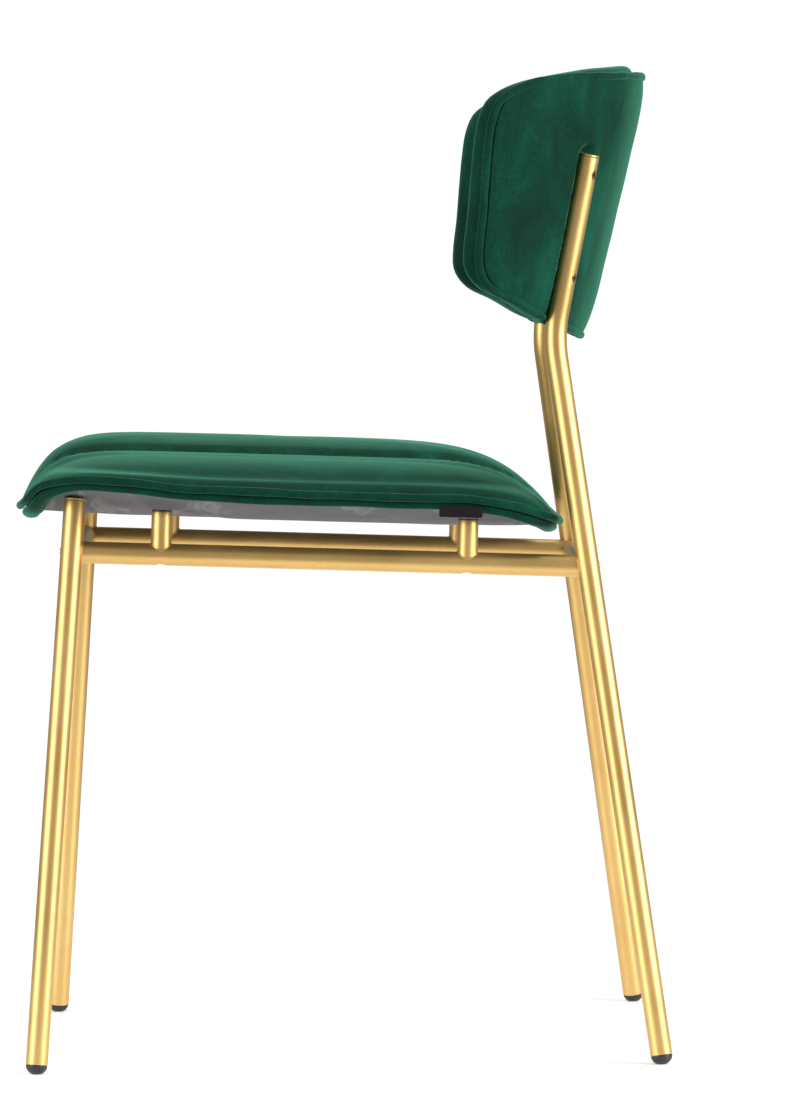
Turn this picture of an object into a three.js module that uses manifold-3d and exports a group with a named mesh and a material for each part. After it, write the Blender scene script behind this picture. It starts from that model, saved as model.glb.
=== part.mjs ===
// Upholstered dining chair: a round-tube metal frame, a padded seat on a dished shell and a padded
// back that wraps round the sitter. Millimetres, +Z up, the sitter faces -Y, +X is the sitter's left.
import * as THREE from "three";
import { mergeVertices } from "three/addons/utils/BufferGeometryUtils.js";
import Module from "manifold-3d";

const wasm = await Module();
wasm.setup();

// ---- driving dimensions ----
const TUBE_R = 9; // outer radius of every frame tube
const WALL = 1.5;
const GAP = 0.3; // clearance between touching pieces
const TUBE_SIDES = 12;
const SMALL_SIDES = 8; // screws, nuts, washers and their holes

// Leg centre lines, on the +X side; the -X side mirrors them.
const FRONT_FOOT = [232, 0, 0];
const REAR_FOOT = [236.5, 505.7, 0];
const RAIL_X = 168.5; // where the front and rear rails end, on the leg centre lines
const SIDE_RAIL_X = 163.5; // the side rails run just inside the leg centre lines
const RAIL_FRONT = [RAIL_X, 33.7, 418.3]; // where the front legs cross the side rails
const RAIL_LENGTH = 420.9; // along the rail, leg to leg
const SEAT_TILT = THREE.MathUtils.degToRad(2.519); // rails and seat fall towards the back
const FRONT_LEG_TOP = 461.5;
const BEND = [136.5, 430, 588]; // where the rear leg turns back into the upright
const UPRIGHT_TOP = [147, 460.3, 735.6];
const BEND_TANGENT = 20;
const BEND_STEPS = 5;
const CAP_THICKNESS = 1.5;

// Feet
const DOME_HEIGHT = 7.4;
const DOME_CENTRE_Z = 7.05; // a shallow flat is left where each dome meets the floor
const FOOT_STEM = 14;

// Seat joint: posts along the rail, and the bolt through each
const POST_AT = { front: 72.5, rear: 322.2 };
const POST_TOP = 35.4;
const POST_R = 8.3; // the posts are a little thinner than the rails that they stand on
const BOLT_R = 2.5;
const BOLT_HEAD_R = 4.2;
const BOLT_HEAD_TOP = 5.2;
const BOLT_END = 47;
const ACCESS_HOLE_R = 4.6;
const NUT_SEAT = 45.8;
const NUT_FLANGE_R = 8;

// Seat: u across, v backwards along the rail, w up from the rail axis
const PIPING_R = 3.4;
const SEAT_CENTRE_V = 176;
const SEAT_CROWN = 94.5;
const SEAT_UNDERSIDE = 26.5;
const SEAT_SHELL_THICKNESS = 9;
const SEAT_COVER_THICKNESS = 2.5;
const SEAT_SIDES = 28;
// One half of the seat's piping, from the middle of the front to the middle of the back.
const SEAT_EDGE = [
  [0, -48.3, 32.5], [80, -46.5, 34], [140, -40.5, 39.5], [182, -25, 53.5], [206, 2, 60],
  [215, 40, 60], [216.5, 95, 56], [214, 170, 54], [209, 250, 53.5], [202, 315, 53],
  [190, 357, 48.5], [165, 385, 41], [120, 397, 35.5], [60, 400, 33.5], [0, 400.4, 33],
];

// Back: a leaning arc of constant radius; a is measured round the arc, z up, n out of its rear face
const BACK_R = 272;
const BACK_FOOT_Y = 457.5; // rear of the arc on the centre line, at BACK_FOOT_Z
const BACK_FOOT_Z = 588;
const BACK_LEAN = 0.2526; // rearward shift for each millimetre of height
const BACK_CENTRE_Z = 697;
const BACK_SIDES = 32;
const BACK_SHELL_REAR = -3.4;
const BACK_SHELL_FRONT = -11.4;
const BACK_SCREW_Z = { upper: 720, lower: 636.5 };
// One half of the back's piping as [a, z], from the middle of the bottom to the middle of the top.
const BACK_EDGE = [
  [0, 587], [40, 588.8], [98, 594.4], [150, 603.2], [198, 617.4], [229, 628], [244.5, 642],
  [250.8, 660], [255.3, 687], [261, 714.4], [266.4, 743], [268.4, 763], [265, 777.5],
  [255, 785.5], [236, 792.3], [205, 796.4], [150, 799.2], [80, 800.8], [0, 801.4],
];

// ---- materials ----
const material = (color, roughness, metalness) =>
  new THREE.MeshStandardMaterial({ color, roughness, metalness });
const BRASS = () => material(0xc9ac6b, 0.32, 1);
const STEEL = () => material(0x9a9a98, 0.4, 1);
const RUBBER = () => material(0x15171a, 0.55, 0);
const VELVET = () => material(0x1f5a44, 0.85, 0);
const PLYWOOD = () => material(0xc39a63, 0.7, 0);
const FOAM = () => material(0xe8dfb8, 0.95, 0);
const NONWOVEN = () => material(0x56565a, 0.95, 0);
const BLACK_TAPE = () => material(0x101112, 0.7, 0);

const chair = new THREE.Group();
function add(name, geometry, makeMaterial) {
  const mesh = new THREE.Mesh(geometry, makeMaterial());
  mesh.name = name;
  chair.add(mesh);
  return mesh;
}

// ---- building closed bodies ----
function signedVolume(points, triangles) {
  let sum = 0;
  for (const [i, j, k] of triangles) {
    sum += points[i].dot(new THREE.Vector3().crossVectors(points[j], points[k]));
  }
  return sum / 6;
}

function bodyFrom(points, triangles) {
  const outward = signedVolume(points, triangles) > 0;
  const index = triangles.flatMap(([i, j, k]) => (outward ? [i, j, k] : [i, k, j]));
  const geometry = new THREE.BufferGeometry().setFromPoints(points);
  geometry.setIndex(index);
  geometry.computeVertexNormals();
  return geometry;
}

// Rings of equal length joined in order; the last ring joins the first.
function loopOfRings(rings) {
  const count = rings[0].length;
  const triangles = [];
  rings.forEach((_, r) => {
    const here = r * count;
    const next = ((r + 1) % rings.length) * count;
    for (let i = 0; i < count; i += 1) {
      const j = (i + 1) % count;
      triangles.push([here + i, here + j, next + j], [here + i, next + j, next + i]);
    }
  });
  return bodyFrom(rings.flat(), triangles);
}

// Rings joined in order, closed at each end by a fan to one point. Each quad is split from the
// smaller ring's corner i to the larger ring's corner i + 1, so that stacked layers facet alike.
function skinOfRings(first, rings, last) {
  const count = rings[0].length;
  const points = [...rings.flat(), first, last];
  const span = (ring) => ring[0].distanceTo(ring[count / 2]);
  const triangles = [];
  for (let r = 0; r < rings.length - 1; r += 1) {
    const widening = span(rings[r + 1]) >= span(rings[r]);
    for (let i = 0; i < count; i += 1) {
      const j = (i + 1) % count;
      const here = r * count;
      const next = here + count;
      if (widening) {
        triangles.push([here + i, here + j, next + j], [here + i, next + j, next + i]);
      } else {
        triangles.push([here + i, here + j, next + i], [here + j, next + j, next + i]);
      }
    }
  }
  const end = (rings.length - 1) * count;
  for (let i = 0; i < count; i += 1) {
    const j = (i + 1) % count;
    triangles.push([points.length - 2, j, i], [points.length - 1, end + i, end + j]);
  }
  return bodyFrom(points, triangles);
}

// Circles of one radius square to a line of points.
function circlesAlong(line, radius, sides = TUBE_SIDES) {
  const ahead = line[1].clone().sub(line[0]).normalize();
  const side = Math.abs(ahead.x) > 0.9 ? new THREE.Vector3(0, 0, 1) : new THREE.Vector3(1, 0, 0);
  side.addScaledVector(ahead, -side.dot(ahead)).normalize();
  return line.map((point, i) => {
    const before = line[Math.max(i - 1, 0)];
    const after = line[Math.min(i + 1, line.length - 1)];
    const along = after.clone().sub(before).normalize();
    const x = side.clone().addScaledVector(along, -side.dot(along)).normalize();
    const y = new THREE.Vector3().crossVectors(along, x);
    return Array.from({ length: sides }, (_, k) => {
      const turn = (2 * Math.PI * k) / sides;
      return point
        .clone()
        .addScaledVector(x, radius * Math.cos(turn))
        .addScaledVector(y, radius * Math.sin(turn));
    });
  });
}

const hollowTube = (line, radius = TUBE_R) =>
  loopOfRings([
    ...circlesAlong(line, radius),
    ...circlesAlong(line, radius - WALL).reverse(),
  ]);

function rod(from, to, radius, sides = TUBE_SIDES) {
  const rings = circlesAlong([from, to], radius, sides);
  return skinOfRings(from, rings, to);
}

// ---- booleans ----
function solid(geometry) {
  const bare = geometry.clone();
  bare.deleteAttribute("normal");
  bare.deleteAttribute("uv");
  const merged = mergeVertices(bare, 1e-4);
  return new wasm.Manifold(
    new wasm.Mesh({
      numProp: 3,
      vertProperties: merged.attributes.position.array,
      triVerts: new Uint32Array(merged.index.array),
    }),
  );
}

function cut(geometry, cutters) {
  const left = cutters.reduce((body, cutter) => body.subtract(solid(cutter)), solid(geometry));
  const mesh = left.getMesh();
  const result = new THREE.BufferGeometry();
  result.setAttribute("position", new THREE.BufferAttribute(mesh.vertProperties.slice(), 3));
  result.setIndex(new THREE.BufferAttribute(mesh.triVerts.slice(), 1));
  result.computeVertexNormals();
  return result;
}

// A turned piece: [radius, height] pairs, its height running along `up` from `origin`.
function turned(profile, origin, up, sides = TUBE_SIDES) {
  const geometry = new THREE.LatheGeometry(
    profile.map(([r, h]) => new THREE.Vector2(r, h)),
    sides,
  );
  const turn = new THREE.Quaternion().setFromUnitVectors(new THREE.Vector3(0, 1, 0), up);
  return geometry.applyQuaternion(turn).translate(origin.x, origin.y, origin.z);
}

// ---- places ----
const SIDES = { left: 1, right: -1 };
const mirrored = ([x, y, z], side) => new THREE.Vector3(x * side, y, z);

function seatPoint(u, v, w) {
  const [, y, z] = RAIL_FRONT;
  return new THREE.Vector3(
    u,
    y + v * Math.cos(SEAT_TILT) + w * Math.sin(SEAT_TILT),
    z - v * Math.sin(SEAT_TILT) + w * Math.cos(SEAT_TILT),
  );
}
const SEAT_UP = seatPoint(0, 0, 1).sub(seatPoint(0, 0, 0));

function backPoint(a, z, n) {
  const turn = a / BACK_R;
  const rear = BACK_FOOT_Y + (z - BACK_FOOT_Z) * BACK_LEAN;
  return new THREE.Vector3(
    (BACK_R + n) * Math.sin(turn),
    rear - BACK_R + (BACK_R + n) * Math.cos(turn),
    z,
  );
}

// The whole closed edge from the +X half, as evenly spaced points.
function wholeEdge(half, count) {
  const points = half.map(([x, y, z = 0]) => new THREE.Vector3(x, y, z));
  const otherHalf = half.slice(1, -1).reverse().map(([x, y, z = 0]) => new THREE.Vector3(-x, y, z));
  const curve = new THREE.CatmullRomCurve3([...points, ...otherHalf], true, "centripetal");
  return curve.getSpacedPoints(count).slice(0, count);
}

// ---- legs ----
const pointAtHeight = (from, to, z) =>
  from.clone().lerp(to, (z - from.z) / (to.z - from.z));

function frontLegLine(side) {
  const foot = mirrored(FRONT_FOOT, side);
  const crossing = mirrored(RAIL_FRONT, side);
  return [
    pointAtHeight(foot, crossing, DOME_CENTRE_Z),
    pointAtHeight(foot, crossing, FRONT_LEG_TOP - CAP_THICKNESS - GAP),
  ];
}

function rearLegLine(side) {
  const foot = mirrored(REAR_FOOT, side);
  const bend = mirrored(BEND, side);
  const top = mirrored(UPRIGHT_TOP, side);
  const start = bend.clone().add(foot.clone().sub(bend).setLength(BEND_TANGENT));
  const end = bend.clone().add(top.clone().sub(bend).setLength(BEND_TANGENT));
  const curve = new THREE.QuadraticBezierCurve3(start, bend, end);
  const upright = top.clone().sub(bend).normalize();
  return [
    pointAtHeight(foot, bend, DOME_CENTRE_Z),
    ...curve.getPoints(BEND_STEPS),
    top.clone().addScaledVector(upright, -CAP_THICKNESS - GAP),
  ];
}

// A countersunk screw and, grown by a clearance, the hole that it sits in.
const screwProfile = (clear, length, socket) => [
  [0, -length],
  [BOLT_R + clear, -length],
  [BOLT_R + clear, -2],
  [3.6 + clear, 0],
  ...(socket ? [[1.5, 0], [1.5, -1.8], [0, -1.8]] : [[3.6 + clear, 0.6], [0, 0.6]]),
];

const backScrews = [];
for (const [sideName, side] of Object.entries(SIDES)) {
  const bend = mirrored(BEND, side);
  const top = mirrored(UPRIGHT_TOP, side);
  const upright = top.clone().sub(bend).normalize();
  for (const [level, z] of Object.entries(BACK_SCREW_Z)) {
    const axis = pointAtHeight(bend, top, z);
    const turn = Math.asin(axis.x / BACK_R);
    const out = new THREE.Vector3(Math.sin(turn), Math.cos(turn), 0);
    out.addScaledVector(upright, -out.dot(upright)).normalize();
    const face = axis.clone().addScaledVector(out, TUBE_R - 0.1);
    backScrews.push({ name: `${level}_${sideName}`, side, face, out });
  }
}

for (const [sideName, side] of Object.entries(SIDES)) {
  const front = frontLegLine(side);
  const rear = rearLegLine(side);
  add(`front_leg_${sideName}`, hollowTube(front), BRASS);
  const holes = backScrews
    .filter((screw) => screw.side === side)
    .map(({ face, out }) => turned(screwProfile(GAP, 20, false), face, out, SMALL_SIDES));
  add(`rear_leg_${sideName}`, cut(hollowTube(rear), holes), BRASS);

  for (const [name, line] of [["front", front], ["rear", rear]]) {
    const end = line.at(-1);
    const up = end.clone().sub(line.at(-2)).normalize();
    const plug = TUBE_R - WALL - GAP;
    add(
      `${name}_leg_cap_${sideName}`,
      turned(
        [
          [0, -4], [plug, -4], [plug, GAP], [TUBE_R, GAP], [TUBE_R - 0.3, GAP + CAP_THICKNESS],
          [0, GAP + CAP_THICKNESS],
        ],
        end,
        up,
      ),
      BRASS,
    );

    const joint = line[0];
    const along = line[1].clone().sub(joint).normalize();
    const dome = Array.from({ length: 5 }, (_, i) => {
      const angle = (Math.PI / 2) * (i / 4);
      return [(TUBE_R - 0.2) * Math.sin(angle), -DOME_HEIGHT * Math.cos(angle) - GAP];
    });
    const foot = turned([...dome, [plug, -GAP], [plug, FOOT_STEM], [0, FOOT_STEM]], joint, along);
    const floor = new THREE.BoxGeometry(60, 60, 20).translate(joint.x, joint.y, -10);
    add(`foot_${name}_${sideName}`, cut(foot, [floor]), RUBBER);
  }
}

// ---- rails ----
const railAxis = (side) =>
  [0, RAIL_LENGTH].map((v) => seatPoint(side * SIDE_RAIL_X, v, 0));
const legCutters = (side) => {
  const straight = (line) => rod(line[0], line[1], TUBE_R + GAP);
  return [straight(frontLegLine(side)), straight(rearLegLine(side))];
};

// A rod square to the side rail, through its axis at v, from height `low` to height `high`.
const drill = (side, v, low, high, radius) =>
  rod(
    seatPoint(side * SIDE_RAIL_X, v, low),
    seatPoint(side * SIDE_RAIL_X, v, high),
    radius,
    SMALL_SIDES,
  );

for (const [sideName, side] of Object.entries(SIDES)) {
  const drills = Object.values(POST_AT).flatMap((v) => [
    drill(side, v, -12, 0, ACCESS_HOLE_R),
    drill(side, v, 0, 12, BOLT_R + GAP),
  ]);
  const rail = hollowTube(railAxis(side));
  add(`side_rail_${sideName}`, cut(rail, [...legCutters(side), ...drills]), BRASS);
}

for (const [name, v] of [["front", 0], ["rear", RAIL_LENGTH]]) {
  const rail = hollowTube([seatPoint(-RAIL_X, v, 0), seatPoint(RAIL_X, v, 0)]);
  const cutters = Object.values(SIDES).flatMap((side) => {
    const [start, end] = railAxis(side);
    return [...legCutters(side), rod(start, end, TUBE_R + GAP)];
  });
  add(`${name}_rail`, cut(rail, cutters), BRASS);
}

// ---- seat posts and their bolts ----
for (const [sideName, side] of Object.entries(SIDES)) {
  for (const [name, v] of Object.entries(POST_AT)) {
    const at = (w) => seatPoint(side * SIDE_RAIL_X, v, w);
    const [start, end] = railAxis(side);
    const post = hollowTube([at(0), at(POST_TOP)], POST_R);
    add(`seat_post_${name}_${sideName}`, cut(post, [rod(start, end, TUBE_R + GAP)]), BRASS);
    add(
      `seat_washer_${name}_${sideName}`,
      turned(
        [[BOLT_R + GAP, 0], [7.5, 0], [7.5, 0.8], [BOLT_R + GAP, 0.8], [BOLT_R + GAP, 0]],
        at(POST_TOP + GAP),
        SEAT_UP,
        SMALL_SIDES,
      ),
      RUBBER,
    );
    add(
      `seat_screw_${name}_${sideName}`,
      turned(
        [
          [0, 2.6], [2, 2.6], [2, 0], [BOLT_HEAD_R, 0], [BOLT_HEAD_R, BOLT_HEAD_TOP],
          [BOLT_R, BOLT_HEAD_TOP], [BOLT_R, BOLT_END], [0, BOLT_END],
        ],
        at(0),
        SEAT_UP,
        SMALL_SIDES,
      ),
      STEEL,
    );
    add(
      `seat_nut_${name}_${sideName}`,
      turned(
        [
          [BOLT_R + GAP, -4.5], [4.2, -4.5], [4.2, 0], [NUT_FLANGE_R, 0], [NUT_FLANGE_R, 1.4],
          [BOLT_R + GAP, 1.4], [BOLT_R + GAP, -4.5],
        ],
        at(NUT_SEAT),
        SEAT_UP,
        SMALL_SIDES,
      ),
      STEEL,
    );
  }
}

// ---- seat ----
const seatEdge = wholeEdge(SEAT_EDGE, SEAT_SIDES);

// The dish is shallow near its middle and rises late, but earlier at the front corners.
const dishPower = (v) => 3.1 - 0.9 * THREE.MathUtils.smoothstep(-v, -50, 0);

function seatUnderside(edge, s) {
  return SEAT_UNDERSIDE + (edge.z - 3 - SEAT_UNDERSIDE) * s ** dishPower(edge.y);
}

// The top is crowned across the seat and falls to the piping: late at the front edge, earlier at
// the sides, and earliest at the back.
const FALL_POWER = { side: 6.5, front: 11, rear: 4.6 };
const SIDE_LOBE = { u: 150, drop: 8.5 };
function seatTop(edge, s) {
  const reach = edge.y - SEAT_CENTRE_V;
  const lengthways = (reach / Math.hypot(edge.x, reach)) ** 4;
  const power = THREE.MathUtils.lerp(
    FALL_POWER.side,
    reach < 0 ? FALL_POWER.front : FALL_POWER.rear,
    lengthways,
  );
  const crown = SEAT_CROWN - SIDE_LOBE.drop * ((edge.x * s) / SIDE_LOBE.u) ** 2;
  return crown + (edge.z + 2.5 - crown) * s ** power;
}

const seatRing = (s, height) =>
  seatEdge.map((edge) =>
    seatPoint(edge.x * s, SEAT_CENTRE_V + (edge.y - SEAT_CENTRE_V) * s, height(edge, s)),
  );
const seatMiddle = (w) => seatPoint(0, SEAT_CENTRE_V, w);
const raised = (surface, by) => (edge, s) => surface(edge, s) + by;

// A layer between two height functions, each given with the ring positions that it uses.
function seatLayer(lower, lowerRings, lowerMiddle, upper, upperRings, upperMiddle) {
  return skinOfRings(
    seatMiddle(lowerMiddle),
    [
      ...lowerRings.map((s) => seatRing(s, lower)),
      ...[...upperRings].reverse().map((s) => seatRing(s, upper)),
    ],
    seatMiddle(upperMiddle),
  );
}

const SHELL_LIFT = 1.1; // room for the dust cover under the shell
const shellTop = SHELL_LIFT + SEAT_SHELL_THICKNESS;
const postHoles = (low, high, radius) =>
  Object.values(SIDES).flatMap((side) =>
    Object.values(POST_AT).map((v) => drill(side, v, low, high, radius)),
  );

const DISH_RINGS = [0.5, 0.72, 0.84, 0.9];
add(
  "seat_shell",
  cut(
    seatLayer(
      raised(seatUnderside, SHELL_LIFT), DISH_RINGS, SEAT_UNDERSIDE + SHELL_LIFT,
      raised(seatUnderside, shellTop), DISH_RINGS, SEAT_UNDERSIDE + shellTop,
    ),
    [...postHoles(20, 60, 4.5), ...postHoles(NUT_SEAT - GAP, 70, NUT_FLANGE_R + 1)],
  ),
  PLYWOOD,
);
add(
  "seat_dust_cover",
  cut(
    seatLayer(
      seatUnderside, DISH_RINGS, SEAT_UNDERSIDE,
      raised(seatUnderside, 0.7), DISH_RINGS, SEAT_UNDERSIDE + 0.7,
    ),
    postHoles(20, 60, 4.5),
  ),
  NONWOVEN,
);

const foamUnder = (edge, s) => (s > 0.905 ? edge.z : seatUnderside(edge, s) + shellTop + GAP);
const foamTop = raised(seatTop, -SEAT_COVER_THICKNESS - GAP);
add(
  "seat_foam",
  cut(
    seatLayer(
      foamUnder, [...DISH_RINGS, 0.915, 0.95], SEAT_UNDERSIDE + shellTop + GAP,
      foamTop, [...DISH_RINGS, 0.95], SEAT_CROWN - SEAT_COVER_THICKNESS - GAP,
    ),
    postHoles(30, BOLT_END + 1.5, NUT_FLANGE_R + 1),
  ),
  FOAM,
);
const COVER_RINGS = [...DISH_RINGS, 0.95, 0.965];
add(
  "seat_cover",
  seatLayer(
    raised(seatTop, -SEAT_COVER_THICKNESS), COVER_RINGS, SEAT_CROWN - SEAT_COVER_THICKNESS,
    seatTop, COVER_RINGS, SEAT_CROWN,
  ),
  VELVET,
);

function pipingAlong(points) {
  const curve = new THREE.CatmullRomCurve3(points, true, "centripetal");
  return mergeVertices(new THREE.TubeGeometry(curve, points.length * 1.5, PIPING_R, 6, true));
}
add("seat_piping", pipingAlong(seatEdge.map((p) => seatPoint(p.x, p.y, p.z))), VELVET);

// The velvet turned under the edge: a flattened roll just inside and below the piping.
const HEM_INSET = 9.4;
const HEM_DROP = 5.3;
const HEM_HALF = [7, 4.3];
const HEM_SIDES = 6;
add(
  "seat_hem",
  loopOfRings(
    seatEdge.map((edge, i) => {
      const before = seatEdge.at(i - 1);
      const after = seatEdge[(i + 1) % seatEdge.length];
      const inward = new THREE.Vector2(before.y - after.y, after.x - before.x).normalize();
      return Array.from({ length: HEM_SIDES }, (_, k) => {
        const turn = (2 * Math.PI * k) / HEM_SIDES;
        const inset = HEM_INSET + HEM_HALF[0] * Math.cos(turn);
        return seatPoint(
          edge.x + inward.x * inset,
          edge.y + inward.y * inset,
          edge.z - HEM_DROP + HEM_HALF[1] * Math.sin(turn),
        );
      });
    }),
  ),
  VELVET,
);

// A blank woven tab that hangs from the seam in front of the hem.
const LABEL = { length: 35, height: 9, thickness: 0.6, v: 315, u: 201.4, w: 42.8, turn: 0.14 };
const label = add(
  "seat_label",
  new THREE.BoxGeometry(LABEL.thickness, LABEL.length, LABEL.height),
  BLACK_TAPE,
);
label.position.copy(seatPoint(LABEL.u, LABEL.v, LABEL.w));
label.rotation.set(-SEAT_TILT, 0, LABEL.turn);

// ---- back ----
const backEdge = wholeEdge(BACK_EDGE, BACK_SIDES);

function backRing(s, n) {
  return backEdge.map((edge) =>
    backPoint(edge.x * s, BACK_CENTRE_Z + (edge.y - BACK_CENTRE_Z) * s, n(edge, s)),
  );
}
const backMiddle = (n) => backPoint(0, BACK_CENTRE_Z, n);
const atDepth = (n) => () => n;

function backLayer(rearRings, rearMiddle, frontRings, frontMiddle) {
  return skinOfRings(
    backMiddle(rearMiddle),
    [...rearRings, ...[...frontRings].reverse()],
    backMiddle(frontMiddle),
  );
}

const BACK_RINGS = [0.3, 0.58, 0.8, 0.92];
const screwBores = (from, to, radius) =>
  backScrews.map(({ face, out }) =>
    rod(
      face.clone().addScaledVector(out, -from),
      face.clone().addScaledVector(out, -to),
      radius,
      SMALL_SIDES,
    ),
  );
const uprightCutters = Object.values(SIDES).map((side) => {
  const rings = circlesAlong(rearLegLine(side), TUBE_R + GAP);
  const top = mirrored(UPRIGHT_TOP, side);
  rings[rings.length - 1] = circlesAlong([mirrored(BEND, side), top], TUBE_R + GAP)[1];
  return skinOfRings(mirrored(REAR_FOOT, side), rings, top);
});

add(
  "back_shell",
  cut(
    backLayer(
      BACK_RINGS.map((s) => backRing(s, atDepth(BACK_SHELL_REAR))), BACK_SHELL_REAR,
      BACK_RINGS.map((s) => backRing(s, atDepth(BACK_SHELL_FRONT))), BACK_SHELL_FRONT,
    ),
    [...screwBores(14, 45, 4.3), ...uprightCutters],
  ),
  PLYWOOD,
);

// The rear panel is padded: it swells away from the shell and closes down to the piping.
const REAR_SWELL = 5.5;
const rearFace = (edge, s) => 0.6 + REAR_SWELL * (1 - s ** 8);
const REAR_RINGS = [...BACK_RINGS, 0.965];
add(
  "back_cover_rear",
  cut(
    backLayer(
      REAR_RINGS.map((s) => backRing(s, rearFace)), 0.6 + REAR_SWELL,
      REAR_RINGS.map((s) => backRing(s, atDepth(BACK_SHELL_REAR + GAP))), BACK_SHELL_REAR + GAP,
    ),
    [...screwBores(14, 45, 3.2), ...uprightCutters],
  ),
  VELVET,
);

// The front pad: thick in the middle, thinner and rounder at the wings, swelling past the piping.
const PAD_DEPTH = { middle: 45, wing: 31 };
const PAD_SWELL = 2.4;
const PAD_SWELL_TOP = 7; // added along the top edge
const wingShare = (edge) => THREE.MathUtils.smoothstep(Math.abs(edge.x), 120, 250);
const padDepth = (edge) => THREE.MathUtils.lerp(PAD_DEPTH.middle, PAD_DEPTH.wing, wingShare(edge));
const padSwell = (edge) =>
  PAD_SWELL + PAD_SWELL_TOP * THREE.MathUtils.smoothstep(edge.y, 730, 800) * (1 - wingShare(edge));
const PAD_TUCK = 15; // how far the bottom edge is drawn in at the pad's full depth
const padTuck = (edge) => PAD_TUCK * (1 - THREE.MathUtils.smoothstep(edge.y, 600, 655));

// One ring of the pad: `out` in parts of the swell, `deep` in parts of the depth. `inner` shrinks
// it on every side: rearwards where the pad faces front, forwards where it turns to the seam.
function padRing(s, out, deep, inner) {
  const facing = 1.6 * THREE.MathUtils.smoothstep(deep, 0.1, 0.7) - 0.6;
  return backEdge.map((edge) => {
    const radial = new THREE.Vector2(edge.x, edge.y - BACK_CENTRE_Z);
    const reach = radial.length() * s + padSwell(edge) * out - padTuck(edge) * deep * s - inner;
    radial.setLength(reach);
    const depth = padDepth(edge) * deep - inner * facing;
    return backPoint(radial.x, BACK_CENTRE_Z + radial.y, -depth);
  });
}
const PAD_PROFILE = [
  [1, -0.1, 0.122], [1, 0.85, 0.28], [1, 1, 0.48], [0.99, 0, 0.74], [0.94, 0, 0.93],
  [0.8, 0, 1], [0.45, 0, 1.02],
];
const padFace = (inner) => PAD_PROFILE.map(([s, out, deep]) => padRing(s, out, deep, inner));
const COVER_THICKNESS = 2.2;
const padMiddle = (inner) => -PAD_DEPTH.middle * 1.02 + inner;
add(
  "back_cover_front",
  backLayer(
    padFace(0).reverse(), padMiddle(0),
    padFace(COVER_THICKNESS).slice(1).reverse(), padMiddle(COVER_THICKNESS),
  ),
  VELVET,
);
const foamFace = padFace(COVER_THICKNESS + GAP).slice(2);
add(
  "back_foam",
  cut(
    backLayer(
      [...BACK_RINGS, 0.94].map((s) => backRing(s, atDepth(BACK_SHELL_FRONT - GAP))),
      BACK_SHELL_FRONT - GAP,
      [...foamFace].reverse(), padMiddle(COVER_THICKNESS + GAP),
    ),
    screwBores(14, 45, 4.5),
  ),
  FOAM,
);
const backPiping = pipingAlong(backEdge.map((p) => backPoint(p.x, p.y, 0)));
add("back_piping", cut(backPiping, uprightCutters), VELVET);

for (const { name, face, out } of backScrews) {
  add(`back_screw_${name}`, turned(screwProfile(0, 27, true), face, out, SMALL_SIDES), STEEL);
  add(
    `back_nut_${name}`,
    turned(
      [
        [BOLT_R + GAP, 0], [4, 0], [4, 7], [BOLT_R + GAP, 7], [BOLT_R + GAP, 0],
      ],
      face.clone().addScaledVector(out, -29),
      out,
      SMALL_SIDES,
    ),
    STEEL,
  );
}

// The origin is on the floor, under the middle of the chair's bounding box.
const box = new THREE.Box3().setFromObject(chair);
chair.position.set(0, -(box.min.y + box.max.y) / 2, 0);

export default chair;
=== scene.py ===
"""Looks of the upholstered dining chair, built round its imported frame.

Shapes are worked out in millimetres in the design's own frame, with its front feet at y = 0, and are
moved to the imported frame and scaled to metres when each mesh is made. +Z is up and -Y is forwards.
Seat: u across, v backwards along the side rail, w up from the rail's axis.
Back: a round the arc, z up, n out of the rear face.
"""
import math

import bpy
import numpy as np
from mathutils import Matrix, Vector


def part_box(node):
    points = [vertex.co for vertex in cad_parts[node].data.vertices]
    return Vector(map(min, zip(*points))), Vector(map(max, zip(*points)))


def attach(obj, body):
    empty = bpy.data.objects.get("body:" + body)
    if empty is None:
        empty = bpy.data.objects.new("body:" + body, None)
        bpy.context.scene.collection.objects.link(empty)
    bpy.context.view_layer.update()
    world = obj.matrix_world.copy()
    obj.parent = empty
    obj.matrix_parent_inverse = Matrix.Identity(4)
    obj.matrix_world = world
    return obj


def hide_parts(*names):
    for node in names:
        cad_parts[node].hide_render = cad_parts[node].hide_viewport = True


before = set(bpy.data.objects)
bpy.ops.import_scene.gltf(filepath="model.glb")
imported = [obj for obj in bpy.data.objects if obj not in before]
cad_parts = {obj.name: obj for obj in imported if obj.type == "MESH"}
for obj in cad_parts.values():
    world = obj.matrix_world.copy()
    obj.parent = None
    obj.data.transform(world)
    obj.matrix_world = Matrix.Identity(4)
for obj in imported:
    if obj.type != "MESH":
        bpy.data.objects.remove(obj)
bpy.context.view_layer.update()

MM = 0.001

# ---- driving dimensions, the same as the frame's ----
TUBE_R = 9
WALL = 1.5
GAP = 0.3
FRONT_FOOT = np.array([232, 0, 0])
REAR_FOOT = np.array([236.5, 505.7, 0])
RAIL_X = 168.5
SIDE_RAIL_X = 163.5
RAIL_FRONT = np.array([RAIL_X, 33.7, 418.3])
RAIL_LENGTH = 420.9
SEAT_TILT = math.radians(2.519)
FRONT_LEG_TOP = 461.5
BEND = np.array([136.5, 430, 588])
UPRIGHT_TOP = np.array([147, 460.3, 735.6])
BEND_TANGENT = 20
CAP_THICKNESS = 1.5
DOME_HEIGHT = 7.4
DOME_CENTRE_Z = 7.05
FOOT_STEM = 14
POST_AT = {"front": 72.5, "rear": 322.2}
POST_TOP = 35.4
POST_R = 8.3
BOLT_R = 2.5
BOLT_HEAD_R = 4.2
BOLT_HEAD_TOP = 5.2
BOLT_END = 47
ACCESS_HOLE_R = 4.6
PIPING_R = 3.4
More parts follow.
